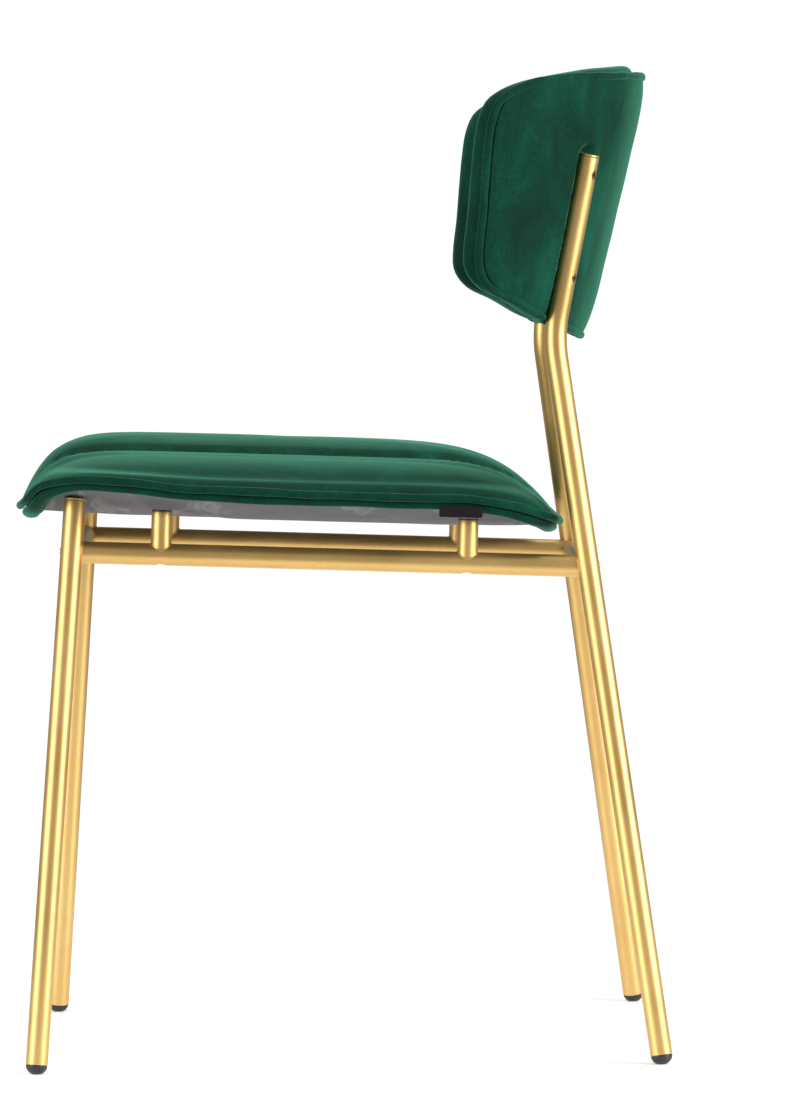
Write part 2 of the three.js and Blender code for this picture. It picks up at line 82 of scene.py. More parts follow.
SEAT_CENTRE_V = 176
SEAT_CROWN = 94.5
SEAT_UNDERSIDE = 26.5
BACK_R = 272
BACK_FOOT_Y = 457.5
BACK_FOOT_Z = 588
BACK_LEAN = 0.2526
BACK_CENTRE_Z = 697
BACK_SCREW_Z = {"upper": 720, "lower": 636.5}
SIDES = {"left": 1, "right": -1}

# One half of the seat's piping as [u, v, w], from the middle of the front to the middle of the back.
SEAT_EDGE = [
    [0, -48.3, 32.5], [80, -46.5, 34], [140, -40.5, 39.5], [182, -25, 53.5], [206, 2, 60],
    [215, 40, 60], [216.5, 95, 56], [214, 170, 54], [209, 250, 53.5], [202, 315, 53],
    [190, 357, 48.5], [165, 385, 41], [120, 397, 35.5], [60, 400, 33.5], [0, 400.4, 33],
]
# One half of the back's piping as [a, z, 0], from the middle of the bottom to the middle of the top.
BACK_EDGE = [
    [0, 587, 0], [40, 588.8, 0], [98, 594.4, 0], [150, 603.2, 0], [198, 617.4, 0], [229, 628, 0],
    [244.5, 642, 0], [250.8, 660, 0], [255.3, 687, 0], [261, 714.4, 0], [266.4, 743, 0],
    [268.4, 763, 0], [265, 777.5, 0], [255, 785.5, 0], [236, 792.3, 0], [205, 796.4, 0],
    [150, 799.2, 0], [80, 800.8, 0], [0, 801.4, 0],
]

rail_low, rail_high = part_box("front_rail")
TO_FRAME = np.array([0, (rail_low.y + rail_high.y) / 2 / MM - RAIL_FRONT[1], 0])


# ---- numbers ----
def unit(vector):
    return vector / np.linalg.norm(vector)


def smoothstep(x, low, high):
    t = np.clip((np.asarray(x, float) - low) / (high - low), 0, 1)
    return t * t * (3 - 2 * t)


def on_side(point, side):
    return point * np.array([side, 1, 1])


def at_height(start, end, z):
    return start + (end - start) * (z - start[2]) / (end[2] - start[2])


def catmull_rom(points, closed, steps=24):
    """Centripetal Catmull-Rom curve through the points, as a dense line."""
    points = np.asarray(points, float)
    if closed:
        padded = np.vstack([points[-1], points, points[:2]])
    else:
        padded = np.vstack([2 * points[0] - points[1], points, 2 * points[-1] - points[-2]])
    line = []
    for p0, p1, p2, p3 in zip(padded, padded[1:], padded[2:], padded[3:]):
        t0 = 0.0
        t1 = t0 + np.linalg.norm(p1 - p0) ** 0.5
        t2 = t1 + np.linalg.norm(p2 - p1) ** 0.5
        t3 = t2 + np.linalg.norm(p3 - p2) ** 0.5
        for t in np.linspace(t1, t2, steps, endpoint=False):
            a1 = p0 + (p1 - p0) * (t - t0) / (t1 - t0)
            a2 = p1 + (p2 - p1) * (t - t1) / (t2 - t1)
            a3 = p2 + (p3 - p2) * (t - t2) / (t3 - t2)
            b1 = a1 + (a2 - a1) * (t - t0) / (t2 - t0)
            b2 = a2 + (a3 - a2) * (t - t1) / (t3 - t1)
            line.append(b1 + (b2 - b1) * (t - t1) / (t2 - t1))
    line.append(line[0] if closed else points[-1])
    return np.array(line)


def spaced(line, count, closed):
    """The line as evenly spaced points; a closed line doesn't repeat its first."""
    travelled = np.concatenate([[0], np.cumsum(np.linalg.norm(np.diff(line, axis=0), axis=1))])
    stops = np.linspace(0, travelled[-1], count + 1 if closed else count)[:count]
    return np.stack([np.interp(stops, travelled, line[:, k]) for k in range(3)], axis=1)


def whole_edge(half, count):
    """The whole closed edge from its +X half, as evenly spaced points."""
    half = np.array(half, float)
    other = half[1:-1][::-1] * np.array([-1, 1, 1])
    return spaced(catmull_rom(np.vstack([half, other]), True), count, True)


def ripple(phase, *waves):
    """A gentle, repeatable unevenness round a closed edge: waves are (cycles, size, offset)."""
    return sum(size * np.sin(2 * math.pi * cycles * phase + offset) for cycles, size, offset in waves)


# ---- mesh building ----
def quads(rings, around, closed_along):
    faces = []
    for r in range(rings if closed_along else rings - 1):
        here, there = r * around, ((r + 1) % rings) * around
        for i in range(around):
            j = (i + 1) % around
            faces.append((here + i, here + j, there + j, there + i))
    return faces


def loop_body(rings):
    """Rings joined in order, the last one to the first."""
    rings = np.asarray(rings)
    return rings.reshape(-1, 3), quads(rings.shape[0], rings.shape[1], True)


def skin_body(first, rings, last):
    """Rings joined in order and closed at each end by a fan."""
    rings = np.asarray(rings)
    count, around = rings.shape[:2]
    points = np.vstack([rings.reshape(-1, 3), first, last])
    faces = quads(count, around, False)
    end = (count - 1) * around
    for i in range(around):
        j = (i + 1) % around
        faces.append((len(points) - 2, j, i))
        faces.append((len(points) - 1, end + i, end + j))
    return points, faces


def joined(*bodies):
    points, faces, offset = [], [], 0
    for body_points, body_faces in bodies:
        points.append(body_points)
        faces.extend(tuple(i + offset for i in face) for face in body_faces)
        offset += len(body_points)
    return np.vstack(points), faces


def facing_out(points, faces):
    """The body with its faces pointing outwards."""
    corners = np.array([face[:3] for face in faces])
    fourth = np.array([face[3] if len(face) == 4 else face[2] for face in faces])
    a, b, c, d = points[corners[:, 0]], points[corners[:, 1]], points[corners[:, 2]], points[fourth]
    volume = (a * np.cross(b, c)).sum() + (a * np.cross(c, d)).sum()
    return points, faces if volume > 0 else [face[::-1] for face in faces]


def mesh_object(name, body):
    points, faces = body
    mesh = bpy.data.meshes.new(name)
    mesh.from_pydata(((points + TO_FRAME) * MM).tolist(), [], faces)
    mesh.update()
    mesh.polygons.foreach_set("use_smooth", [True] * len(mesh.polygons))
    thing = bpy.data.objects.new(name, mesh)
    bpy.context.scene.collection.objects.link(thing)
    return thing


def apply_modifiers(thing):
    graph = bpy.context.evaluated_depsgraph_get()
    baked = bpy.data.meshes.new_from_object(thing.evaluated_get(graph))
    baked.name = thing.name
    old = thing.data
    thing.modifiers.clear()
    thing.data = baked
    bpy.data.meshes.remove(old)


def cut_by(thing, *bodies):
    """Cuts closed bodies out of the thing."""
    cutters = [mesh_object("cutter", facing_out(*body)) for body in bodies]
    for cutter in cutters:
        modifier = thing.modifiers.new("cut", "BOOLEAN")
        modifier.operation = "DIFFERENCE"
        modifier.solver = "EXACT"
        modifier.object = cutter
    apply_modifiers(thing)
    for cutter in cutters:
        bpy.data.objects.remove(cutter)
    thing.data.set_sharp_from_angle(angle=math.radians(30))


def finish_piece(thing, material, slot, *replaced, sharp=None):
    thing.data.materials.clear()
    thing.data.materials.append(material)
    if sharp is not None:
        thing.data.set_sharp_from_angle(angle=math.radians(sharp))
    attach(thing, "root")
    if replaced:
        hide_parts(*replaced)
    return thing


def piece(name, body, material, slot, *replaced, sharp=None):
    return finish_piece(mesh_object(name, facing_out(*body)), material, slot, *replaced, sharp=sharp)


PLUMP_FRAMES = 14
PLUMP_PRESSURE = 4
PIN_LEVELS = 10
TINY = 1e-9


def plump(thing, freedom):
    """Swells padding by cloth simulation: freedom is 0 where a point is sewn down, 1 where it is
    free. Movement is held under MOST_SWELL."""
    count = len(thing.data.vertices)
    before = np.empty(count * 3)
    thing.data.vertices.foreach_get("co", before)
    before = before.reshape(-1, 3)
    held = thing.vertex_groups.new(name="held")
    for level in range(PIN_LEVELS + 1):
        chosen = np.flatnonzero(np.round((1 - freedom) * PIN_LEVELS) == level)
        held.add(chosen.tolist(), level / PIN_LEVELS, "REPLACE")
    cloth = thing.modifiers.new("padding", "CLOTH")
    cloth.settings.quality = 4
    cloth.settings.mass = 0.25
    cloth.settings.use_pressure = True
    cloth.settings.uniform_pressure_force = PLUMP_PRESSURE
    cloth.settings.vertex_group_mass = "held"
    cloth.settings.effector_weights.gravity = 0
    cloth.point_cache.frame_end = PLUMP_FRAMES
    for frame_number in range(1, PLUMP_FRAMES + 1):
        bpy.context.scene.frame_set(frame_number)
    apply_modifiers(thing)
    bpy.context.scene.frame_set(1)
    after = np.empty(count * 3)
    thing.data.vertices.foreach_get("co", after)
    moved = after.reshape(-1, 3) - before
    length = np.linalg.norm(moved, axis=1)
    allowed = MOST_SWELL * MM * freedom
    share = allowed / (allowed + length + TINY)
    thing.data.vertices.foreach_set("co", (before + moved * share[:, None]).ravel())
    thing.data.update()


# ---- tubes and turned pieces ----
SMOOTH_SIDES = 48


def frames_along(line):
    """Two directions square to the line at each of its points."""
    line = np.asarray(line, float)
    ahead = unit(line[1] - line[0])
    side = np.array([0.0, 0, 1]) if abs(ahead[0]) > 0.9 else np.array([1.0, 0, 0])
    across, up = [], []
    for i in range(len(line)):
        along = unit(line[min(i + 1, len(line) - 1)] - line[max(i - 1, 0)])
        side = unit(side - along * side.dot(along))
        across.append(side)
        up.append(np.cross(along, side))
    return np.array(across), np.array(up)


def circle_rings(line, radii, sides=SMOOTH_SIDES):
    line = np.asarray(line, float)
    radii = np.broadcast_to(radii, len(line))
    across, up = frames_along(line)
    turn = 2 * math.pi * np.arange(sides) / sides
    ring = (
        across[:, None] * np.cos(turn)[None, :, None] + up[:, None] * np.sin(turn)[None, :, None]
    )
    return line[:, None] + ring * radii[:, None, None]


def tube_body(line, edge=0.5):
    """A closed tube along the line, its end edges rounded."""
    line = np.asarray(line, float)
    start, end = unit(line[1] - line[0]), unit(line[-1] - line[-2])
    arc = np.linspace(0, math.pi / 2, 5)
    drop = edge * (1 - np.sin(arc))
    inset = edge * (1 - np.cos(arc))
    head = [line[0] + start * d for d in inset]
    tail = [line[-1] - end * d for d in inset[::-1]]
    path = np.vstack([head, line[1:-1], tail])
    radii = np.concatenate([TUBE_R - drop, np.full(len(line) - 2, TUBE_R), TUBE_R - drop[::-1]])
    return skin_body(line[0], circle_rings(path, radii), line[-1])


def hollow_tube_body(line):
    return loop_body(
        np.vstack([circle_rings(line, TUBE_R), circle_rings(line, TUBE_R - WALL)[::-1]])
    )


def closed_tube(points, radii, sides):
    """A tube along a closed line, with a radius for each of its points."""
    ahead = np.roll(points, -1, axis=0) - np.roll(points, 1, axis=0)
    ahead /= np.linalg.norm(ahead, axis=1)[:, None]
    outward = points - points.mean(axis=0)
    outward -= ahead * (outward * ahead).sum(axis=1)[:, None]
    outward /= np.linalg.norm(outward, axis=1)[:, None]
    other = np.cross(ahead, outward)
    turn = 2 * math.pi * np.arange(sides) / sides
    radii = radii[:, None, None]
    return loop_body(
        points[:, None]
        + radii * np.cos(turn)[None, :, None] * outward[:, None]
        + radii * np.sin(turn)[None, :, None] * other[:, None]
    )


def rod_body(start, end, radius, sides=SMOOTH_SIDES):
    return skin_body(start, circle_rings([start, end], radius, sides), end)


def turned_body(profile, origin, up, sides=SMOOTH_SIDES):
    """[radius, height] pairs turned round `up`; a profile off the axis closes on itself."""
    up = unit(np.asarray(up, float))
    across, other = frames_along([origin, origin + up])
    turn = 2 * math.pi * np.arange(sides) / sides
    circle = across[0] * np.cos(turn)[:, None] + other[0] * np.sin(turn)[:, None]
    rings = [origin + up * h + circle * r for r, h in profile if r > 0]
    if profile[0][0] > 0:
        return loop_body(rings)
    return skin_body(origin + up * profile[0][1], rings, origin + up * profile[-1][1])


def rounded_profile(profile, radius=0.3, steps=3):
    """The [radius, height] profile with its inner corners rounded off."""
    points = [np.array(p, float) for p in profile]
    result = [points[0]]
    for before, here, after in zip(points, points[1:], points[2:]):
        reach = min(radius, np.linalg.norm(before - here) / 2.1, np.linalg.norm(after - here) / 2.1)
        start, end = here + unit(before - here) * reach, here + unit(after - here) * reach
        for t in np.linspace(0, 1, steps + 1):
            result.append((1 - t) ** 2 * start + 2 * t * (1 - t) * here + t * t * end)
    return result + [points[-1]]


# ---- places ----
def seat_point(u, v, w):
    u, v, w = np.broadcast_arrays(u, v, w)
    return np.stack([
        u * 1.0,
        RAIL_FRONT[1] + v * math.cos(SEAT_TILT) + w * math.sin(SEAT_TILT),
        RAIL_FRONT[2] - v * math.sin(SEAT_TILT) + w * math.cos(SEAT_TILT),
    ], axis=-1)


SEAT_UP = seat_point(0, 0, 1) - seat_point(0, 0, 0)


def back_point(a, z, n):
    a, z, n = np.broadcast_arrays(a, z, n)
    rear = BACK_FOOT_Y + (z - BACK_FOOT_Z) * BACK_LEAN
    return np.stack([
        (BACK_R + n) * np.sin(a / BACK_R),
        rear - BACK_R + (BACK_R + n) * np.cos(a / BACK_R),
        z * 1.0,
    ], axis=-1)


def front_leg_line(side):
    foot, crossing = on_side(FRONT_FOOT, side), on_side(RAIL_FRONT, side)
    heights = (DOME_CENTRE_Z, 120, 240, 360, FRONT_LEG_TOP - CAP_THICKNESS - GAP)
    return np.array([at_height(foot, crossing, z) for z in heights])


def rear_leg_line(side):
    foot, bend, top = (on_side(p, side) for p in (REAR_FOOT, BEND, UPRIGHT_TOP))
    start = bend + unit(foot - bend) * BEND_TANGENT
    end = bend + unit(top - bend) * BEND_TANGENT
    t = np.linspace(0, 1, 25)[:, None]
    arc = (1 - t) ** 2 * start + 2 * t * (1 - t) * bend + t * t * end
    lower = [at_height(foot, bend, z) for z in (DOME_CENTRE_Z, 120, 240, 360, 480)]
    upper = [bend + (top - bend) * s for s in (0.3, 0.5, 0.7, 0.9)]
    return np.vstack([lower, arc, upper, top - unit(top - bend) * (CAP_THICKNESS + GAP)])


# ---- materials ----
def srgb(red, green, blue, alpha=1.0):
    """A colour given as 0-255 display values, as linear values."""
    def linear(value):
        value /= 255
        return value / 12.92 if value <= 0.04045 else ((value + 0.055) / 1.055) ** 2.4
    return (linear(red), linear(green), linear(blue), alpha)


SHADER_INPUTS = {
    "metallic": "Metallic", "specular": "Specular IOR Level", "sheen": "Sheen Weight",
    "sheen_roughness": "Sheen Roughness", "sheen_tint": "Sheen Tint", "coat": "Coat Weight",
    "coat_roughness": "Coat Roughness",
}


class Nodes:
    """A material's node tree, built with short calls."""

    def __init__(self, name):
        self.material = bpy.data.materials.new(name)
        self.material.use_nodes = True
        self.tree = self.material.node_tree
        self.shader = self.tree.nodes["Principled BSDF"]
        self.place = self.add("ShaderNodeTexCoord").outputs["Object"]

    def add(self, kind, **settings):
        node = self.tree.nodes.new(kind)
        for name, value in settings.items():
            setattr(node, name, value)
        return node

    def link(self, source, target):
        self.tree.links.new(source, target)

    def stretched(self, scale, rotation=(0, 0, 0)):
        mapping = self.add("ShaderNodeMapping")
        mapping.inputs["Scale"].default_value = scale
        mapping.inputs["Rotation"].default_value = rotation
        self.link(self.place, mapping.inputs["Vector"])
        return mapping.outputs["Vector"]

    def noise(self, scale, detail=3, roughness=0.5, distortion=0.0, vector=None):
        node = self.add("ShaderNodeTexNoise")
        node.inputs["Scale"].default_value = scale
        node.inputs["Detail"].default_value = detail
        node.inputs["Roughness"].default_value = roughness
        node.inputs["Distortion"].default_value = distortion
        self.link(vector or self.place, node.inputs["Vector"])
        return node.outputs["Fac"]

    def ramp(self, value, *stops):
        """Stops are (position, colour)."""
        node = self.add("ShaderNodeValToRGB")
        elements = node.color_ramp.elements
        while len(elements) < len(stops):
            elements.new(0.5)
        for element, (position, colour) in zip(elements, stops):
            element.position = position
            element.color = colour
        self.link(value, node.inputs["Fac"])
        return node.outputs["Color"]

    def between(self, value, low, high, from_low=0.3, from_high=0.7):
        node = self.add("ShaderNodeMapRange")
        for name, number in (
            ("From Min", from_low), ("From Max", from_high), ("To Min", low), ("To Max", high),
        ):
            node.inputs[name].default_value = number
        self.link(value, node.inputs["Value"])
        return node.outputs["Result"]

    def mix(self, factor, first, second, blend="MIX"):
        node = self.add("ShaderNodeMix", data_type="RGBA", blend_type=blend)
        sockets = (node.inputs[0], node.inputs[6], node.inputs[7])
        for socket, value in zip(sockets, (factor, first, second)):
            if hasattr(value, "node"):
                self.link(value, socket)
            else:
                socket.default_value = value
        return node.outputs[2]

    def math(self, operation, first, second):
        node = self.add("ShaderNodeMath", operation=operation)
        for socket, value in zip(node.inputs, (first, second)):
            if hasattr(value, "node"):
                self.link(value, socket)
            else:
                socket.default_value = value
        return node.outputs[0]

    def bump(self, height, distance, strength=1.0, under=None):
        node = self.add("ShaderNodeBump")
        node.inputs["Strength"].default_value = strength
        node.inputs["Distance"].default_value = distance
        self.link(height, node.inputs["Height"])
        if under is not None:
            self.link(under, node.inputs["Normal"])
        return node.outputs["Normal"]

    def finish(self, colour, roughness, normal, **even):
        """Links the varying inputs and sets the even ones on the shader itself."""
        for name, source in (("Base Color", colour), ("Roughness", roughness), ("Normal", normal)):
            if hasattr(source, "node"):
                self.link(source, self.shader.inputs[name])
            elif source is not None:
                self.shader.inputs[name].default_value = source
        for name, value in even.items():
            self.shader.inputs[SHADER_INPUTS[name]].default_value = value
        return self.material


def velvet_material():
    """Short-pile velvet: dark face on, with a pale sheen that is partly real sheen and partly painted
    into the base colour towards grazing views, brushed patches and a fine pile.
    """
    m = Nodes("velvet")
    brushed = m.noise(26, 4, 0.62, 0.9, m.stretched((1.0, 1.0, 0.55), (0.35, 0.2, 0.5)))
    cloudy = m.noise(7.5, 3, 0.5, 0.4)
    pile = m.noise(1500, 2, 0.6)
    grain = m.noise(420, 3, 0.6)
    patches = m.mix(0.5, brushed, cloudy)
    colour = m.ramp(
        patches, (0.38, srgb(0, 40, 29)), (0.5, srgb(2, 53, 40)), (0.63, srgb(12, 72, 56)),
    )
    speckle = m.ramp(grain, (0.3, (0.72, 0.72, 0.72, 1)), (0.7, (1.18, 1.18, 1.18, 1)))
    colour = m.mix(1.0, colour, speckle, "MULTIPLY")
    # Painted sheen: the base colour is mixed towards pale green (50, 116, 92) where the surface is
    # seen at a grazing angle.
    painted_sheen_facing = m.add("ShaderNodeLayerWeight")
    painted_sheen_facing.inputs["Blend"].default_value = 0.42
    painted_sheen_share = m.between(painted_sheen_facing.outputs["Facing"], 0.0, 0.75, 0.58, 1.0)
    colour = m.mix(painted_sheen_share, colour, srgb(50, 116, 92))
    height = m.math("ADD", m.math("MULTIPLY", grain, 0.7), m.math("MULTIPLY", pile, 0.3))
    soft = m.bump(brushed, 0.0012, 0.35)
    return m.finish(
        colour, m.between(brushed, 0.78, 0.92), m.bump(height, 0.0005, 0.35, soft),
        sheen=0.34, sheen_roughness=0.28, sheen_tint=srgb(120, 205, 172), specular=0.1,
    )


def brass_material():
    """Satin lacquered brass: fine draw lines along the tubes and slightly uneven lustre."""
    m = Nodes("satin_brass")
    cloud = m.noise(14, 3, 0.5)
    drawn = m.noise(240, 3, 0.7, 0.0, m.stretched((1.0, 1.0, 0.06)))
    speck = m.noise(2600, 1, 0.5)
    colour = m.ramp(cloud, (0.3, srgb(208, 171, 105)), (0.7, srgb(217, 183, 118)))
    shade = m.ramp(drawn, (0.25, (0.95, 0.94, 0.92, 1)), (0.75, (1.0, 1.0, 1.0, 1)))
    colour = m.mix(1.0, colour, shade, "MULTIPLY")
    height = m.math("ADD", m.math("MULTIPLY", drawn, 0.6), m.math("MULTIPLY", speck, 0.4))
    return m.finish(
        colour, m.between(cloud, 0.4, 0.47), m.bump(height, 0.0001, 0.2), metallic=1.0,
        coat=0.12, coat_roughness=0.35,
    )


def steel_material():
    m = Nodes("dark_steel")
    cloud = m.noise(300, 3)
    colour = m.ramp(cloud, (0.3, srgb(120, 104, 80)), (0.7, srgb(168, 148, 112)))
    return m.finish(colour, m.between(cloud, 0.32, 0.5), m.bump(cloud, 0.0001, 0.2), metallic=1.0)


def rubber_material():
    """Moulded black plastic with a faint grain and scuffs."""
    m = Nodes("black_plastic")
    cloud = m.noise(60, 4)
    grain = m.noise(1800, 2)
    colour = m.ramp(cloud, (0.3, srgb(13, 14, 18)), (0.7, srgb(30, 32, 38)))
    return m.finish(colour, m.between(cloud, 0.3, 0.5), m.bump(grain, 0.0002, 0.25))


def dust_cover_material():
    """Grey non-woven felt: matted fibres, small bonding dimples and pale streaks painted along
    creases as highlights.
    """
    m = Nodes("non_woven")
    fibres = m.noise(900, 4, 0.7, 1.4)
    cloud = m.noise(22, 4, 0.6)
    painted_highlight_noise = m.noise(16, 2, 0.5, 0.6, m.stretched((0.55, 2.2, 1.0), (0, 0, 0.5)))
    dots = m.add("ShaderNodeTexVoronoi", feature="F1")
    dots.inputs["Scale"].default_value = 620
    dots.inputs["Randomness"].default_value = 0.25
    m.link(m.place, dots.inputs["Vector"])
    colour = m.ramp(cloud, (0.3, srgb(62, 62, 66)), (0.7, srgb(80, 80, 84)))
    strands = m.ramp(fibres, (0.3, srgb(42, 42, 46)), (0.7, srgb(110, 110, 113)))
    colour = m.mix(0.55, colour, strands)
    # Painted highlight: pale grey streaks mixed into the colour where creases would catch the light.
    painted_crease_highlight = m.ramp(painted_highlight_noise, (0.57, (0, 0, 0, 1)), (0.63, (1, 1, 1, 1)), (0.69, (0, 0, 0, 1)))
    colour = m.mix(m.math("MULTIPLY", painted_crease_highlight, 0.3), colour, srgb(158, 158, 160))
    height = m.math("ADD", fibres, m.math("MULTIPLY", dots.outputs["Distance"], 0.8))
    return m.finish(colour, 0.95, m.bump(height, 0.0004, 0.5), sheen=0.1)


def label_material():
    """Plain black woven tape."""
    m = Nodes("black_tape")
    weave = m.add("ShaderNodeTexWave", bands_direction="DIAGONAL")
    weave.inputs["Scale"].default_value = 900
    weave.inputs["Distortion"].default_value = 1.5
    m.link(m.place, weave.inputs["Vector"])
    colour = m.ramp(weave.outputs["Fac"], (0.2, srgb(5, 5, 6)), (0.8, srgb(16, 16, 18)))
    return m.finish(colour, 0.8, m.bump(weave.outputs["Fac"], 0.0002, 0.4), specular=0.2)


def plywood_material():
    m = Nodes("plywood")
    grain = m.noise(40, 4, 0.6, 0.6, m.stretched((0.15, 1.6, 8.0)))
    colour = m.ramp(grain, (0.3, srgb(176, 132, 84)), (0.7, srgb(212, 174, 124)))
    return m.finish(colour, m.between(grain, 0.55, 0.75), m.bump(grain, 0.0004, 0.3))


def foam_material():
    m = Nodes("foam")
    cells = m.noise(900, 3, 0.7)
    colour = m.ramp(cells, (0.3, srgb(214, 202, 150)), (0.7, srgb(240, 232, 196)))
    return m.finish(colour, 0.95, m.bump(cells, 0.0006, 0.5))


VELVET = velvet_material()
BRASS = brass_material()
STEEL = steel_material()
RUBBER = rubber_material()
NON_WOVEN = dust_cover_material()
TAPE = label_material()
PLYWOOD = plywood_material()
FOAM = foam_material()


# ---- metal frame ----
def weld_bead(joint, radius=0.75):
    """A thin bead along a closed joint line."""
    return closed_tube(joint, np.full(len(joint), radius), 8)


def joint_line(start, end, post_start, post_end):
    """Where the surface of a tube from start to end first meets another tube, as a closed line."""
    axis, post = unit(end - start), unit(post_end - post_start)
    ring = circle_rings([start, end], TUBE_R)[0]
    reach = axis - post * axis.dot(post)
    away = ring - post_start
    away -= np.outer(away @ post, post)
    half = away @ reach
    room = np.clip(half ** 2 - reach.dot(reach) * ((away ** 2).sum(axis=1) - TUBE_R ** 2), 0, None)
    along = (-half - np.sqrt(room)) / reach.dot(reach)
    return ring + np.outer(along, axis)


def add_legs():
    for name, side in SIDES.items():
        for end, line in (("front", front_leg_line(side)), ("rear", rear_leg_line(side))):
            leg = piece(
                f"leg_{end}_{name}", tube_body(line), BRASS, "frame_metal", f"{end}_leg_{name}"
            )
            if end == "rear":
                holes = [
                    turned_body(screw_seat(0.15), face, out)
                    for face, out, owner in back_screws() if owner == side
                ]
                cut_by(leg, *holes)
            up = unit(line[-1] - line[-2])
            cap = rounded_profile([
                [0, GAP], [TUBE_R - 0.15, GAP], [TUBE_R - 0.15, GAP + CAP_THICKNESS],
                [0, GAP + CAP_THICKNESS],
            ], 0.5)
            piece(
                f"cap_{end}_{name}", turned_body(cap, line[-1], up), BRASS, "frame_metal",
                f"{end}_leg_cap_{name}", sharp=50,
            )
            add_foot(end, name, line)


def add_foot(end, name, line):
    along = unit(line[1] - line[0])
    arc = np.linspace(0, math.pi / 2, 17)[1:]
    dome = [[(TUBE_R - 0.2) * math.sin(t), -DOME_HEIGHT * math.cos(t) - GAP] for t in arc]
    plug = TUBE_R - WALL - GAP
    stem = [[TUBE_R - 0.2, -0.1], [plug, 0], [plug, FOOT_STEM], [0, FOOT_STEM]]
    profile = [[0, -DOME_HEIGHT - GAP], *dome, *stem]
    points, faces = turned_body(profile, line[0], along)
    points[:, 2] = np.maximum(points[:, 2], 0)
    piece(
        f"dome_{end}_{name}", (points, faces), RUBBER, "foot_plastic", f"foot_{end}_{name}",
        sharp=50,
    )


def add_rails():
    for name, side in SIDES.items():
        start = seat_point(side * SIDE_RAIL_X, 0, 0)
        end = seat_point(side * SIDE_RAIL_X, RAIL_LENGTH, 0)
        line = [start + (end - start) * t for t in np.linspace(0, 1, 13)]
        rail = piece(
            f"rail_{name}", hollow_tube_body(line), BRASS, "frame_metal", f"side_rail_{name}"
        )
        cut_by(rail, *(
            rod_body(
                seat_point(side * SIDE_RAIL_X, v, -12), seat_point(side * SIDE_RAIL_X, v, 0),
                ACCESS_HOLE_R,
            )
            for v in POST_AT.values()
        ))
        middle = (start + end) / 2
        front, rear = front_leg_line(side), rear_leg_line(side)
        beads = joined(
            weld_bead(joint_line(middle, start, front[0], front[1])),
            weld_bead(joint_line(middle, end, rear[0], rear[1])),
        )
        piece(f"weld_rail_{name}", beads, BRASS, "frame_metal")
    for end, v in (("front", 0), ("rear", RAIL_LENGTH)):
        left, right = seat_point(RAIL_X, v, 0), seat_point(-RAIL_X, v, 0)
        line = [left + (right - left) * t for t in np.linspace(0, 1, 13)]
        piece(f"rail_{end}", tube_body(line), BRASS, "frame_metal", f"{end}_rail")
        beads = []
        for side in SIDES.values():
            leg = front_leg_line(side) if end == "front" else rear_leg_line(side)
            beads.append(weld_bead(joint_line(
                seat_point(0, v, 0), seat_point(side * RAIL_X, v, 0), leg[0], leg[1]
            )))
        piece(f"weld_rail_{end}", joined(*beads), BRASS, "frame_metal")


POST_SUNK = 0.5


def post_ring(u, v, share, w=None):
    """A ring of the post at u, v; without a height it follows the rail under the post."""
    turn = 2 * math.pi * np.arange(SMOOTH_SIDES) / SMOOTH_SIDES
    du, dv = POST_R * share * np.cos(turn), POST_R * share * np.sin(turn)
    if w is None:
        w = np.sqrt(np.clip(TUBE_R ** 2 - du ** 2, 0, None)) - POST_SUNK
    return seat_point(u + du, v + dv, w)


def add_posts():
    for name, side in SIDES.items():
        u = side * SIDE_RAIL_X
        for end, v in POST_AT.items():
            foot, top = seat_point(u, v, TUBE_R - POST_SUNK), seat_point(u, v, POST_TOP)
            rings = [post_ring(u, v, share) for share in (0.25, 0.5, 0.75, 0.9, 1)]
            rings += [post_ring(u, v, 1, w) for w in (14, 22, 30, POST_TOP - 0.5)]
            rings.append(post_ring(u, v, 0.96, POST_TOP))
            piece(
                f"post_{end}_{name}", skin_body(foot, rings, top), BRASS, "frame_metal",
                f"seat_post_{end}_{name}", sharp=60,
            )
            saddle = post_ring(u, v, 1) + POST_SUNK * SEAT_UP
            piece(f"weld_post_{end}_{name}", weld_bead(saddle, 0.6), BRASS, "frame_metal")
            washer = [[BOLT_R + GAP, 0], [8.1, 0], [8.1, 0.9], [BOLT_R + GAP, 0.9]]
            piece(
                f"spacer_{end}_{name}", turned_body(washer, top + 0.1 * SEAT_UP, SEAT_UP), RUBBER,
                "washer_rubber", f"seat_washer_{end}_{name}", sharp=40,
            )
            bolt = [
                [0, 2.6], [2, 2.6], [2, 0], [BOLT_HEAD_R, 0], [BOLT_HEAD_R, BOLT_HEAD_TOP],
                [BOLT_R, BOLT_HEAD_TOP], [BOLT_R, BOLT_END], [0, BOLT_END],
            ]
            bolt_body = turned_body(rounded_profile(bolt), seat_point(u, v, 0), SEAT_UP, 24)
            piece(
                f"bolt_{end}_{name}", bolt_body, STEEL, "fastener_steel",
                f"seat_screw_{end}_{name}", sharp=40,
            )


# ---- screws in the uprights ----
SCREW_HEAD_R = 3.6
SCREW_LENGTH = 27
SOCKET_R = 1.7
SOCKET_DEPTH = 1.8


def back_screws():
    """(centre of the head's face, outward direction, side) of each screw."""
    places = []
    for side in SIDES.values():
        bend, top = on_side(BEND, side), on_side(UPRIGHT_TOP, side)
        upright = unit(top - bend)
        for z in BACK_SCREW_Z.values():
            axis = at_height(bend, top, z)
            turn = math.asin(axis[0] / BACK_R)
            out = np.array([math.sin(turn), math.cos(turn), 0])
            out = unit(out - upright * out.dot(upright))
            places.append((axis + out * (TUBE_R - 0.1), out, side))
    return places


def screw_seat(clear):
    return [
        [0, -12], [BOLT_R + clear, -12], [BOLT_R + clear, -2], [SCREW_HEAD_R + clear, 0],
        [SCREW_HEAD_R + clear, 1.5], [0, 1.5],
    ]


